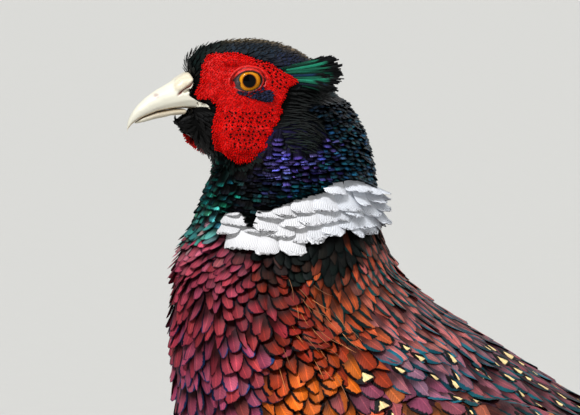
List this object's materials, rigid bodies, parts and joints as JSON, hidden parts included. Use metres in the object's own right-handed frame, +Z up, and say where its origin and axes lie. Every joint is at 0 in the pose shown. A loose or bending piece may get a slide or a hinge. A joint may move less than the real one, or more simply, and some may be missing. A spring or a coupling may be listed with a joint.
{
  "type": "common pheasant",
  "caption": "Male common pheasant standing still with raised head, red face, white neck ring, folded wings and long pointed tail.",
  "frame": {"origin": "middle of the bounding box, on the floor the bird stands on", "axes": "+X from the head to the tip of the tail, +Y to the bird's right, +Z up"},
  "size_m": [0.7868, 0.1436, 0.43],
  "materials": {
    "green_feathers": "glossy dark green-black feathers",
    "blue_feathers": "glossy blue and violet feathers",
    "white_feathers": "soft white feathers",
    "maroon_feathers": "glossy maroon and orange feathers with dark edges",
    "wing_feathers": "brown, chestnut and grey barred feathers",
    "tail_feathers": "buff feathers with dark bars",
    "thigh_feathers": "dark brown feathers",
    "red_skin": "bare red skin with small bulbs",
    "bill_horn": "smooth ivory horn",
    "iris": "wet amber eye with a black pupil",
    "leg_scales": "grey horny scales",
    "claw_horn": "dark horn"
  },
  "bodies": {
    "root": {"head": "green_feathers", "bill_upper": "bill_horn", "bill_lower": "bill_horn", "neck": "blue_feathers", "neck_ring": "white_feathers", "torso": "maroon_feathers", "tail": "tail_feathers", "eye_left": "iris", "face_left": "red_skin", "ear_tuft_left": "green_feathers", "wing_left": "wing_feathers", "thigh_left": "thigh_feathers", "shank_left": "leg_scales", "spur_left": "claw_horn", "foot_left": "leg_scales", "claw_inner_left": "claw_horn", "claw_middle_left": "claw_horn", "claw_outer_left": "claw_horn", "claw_hind_left": "claw_horn", "eye_right": "iris", "face_right": "red_skin", "ear_tuft_right": "green_feathers", "wing_right": "wing_feathers", "thigh_right": "thigh_feathers", "shank_right": "leg_scales", "spur_right": "claw_horn", "foot_right": "leg_scales", "claw_inner_right": "claw_horn", "claw_middle_right": "claw_horn", "claw_outer_right": "claw_horn", "claw_hind_right": "claw_horn"}
  },
  "joints": []
}
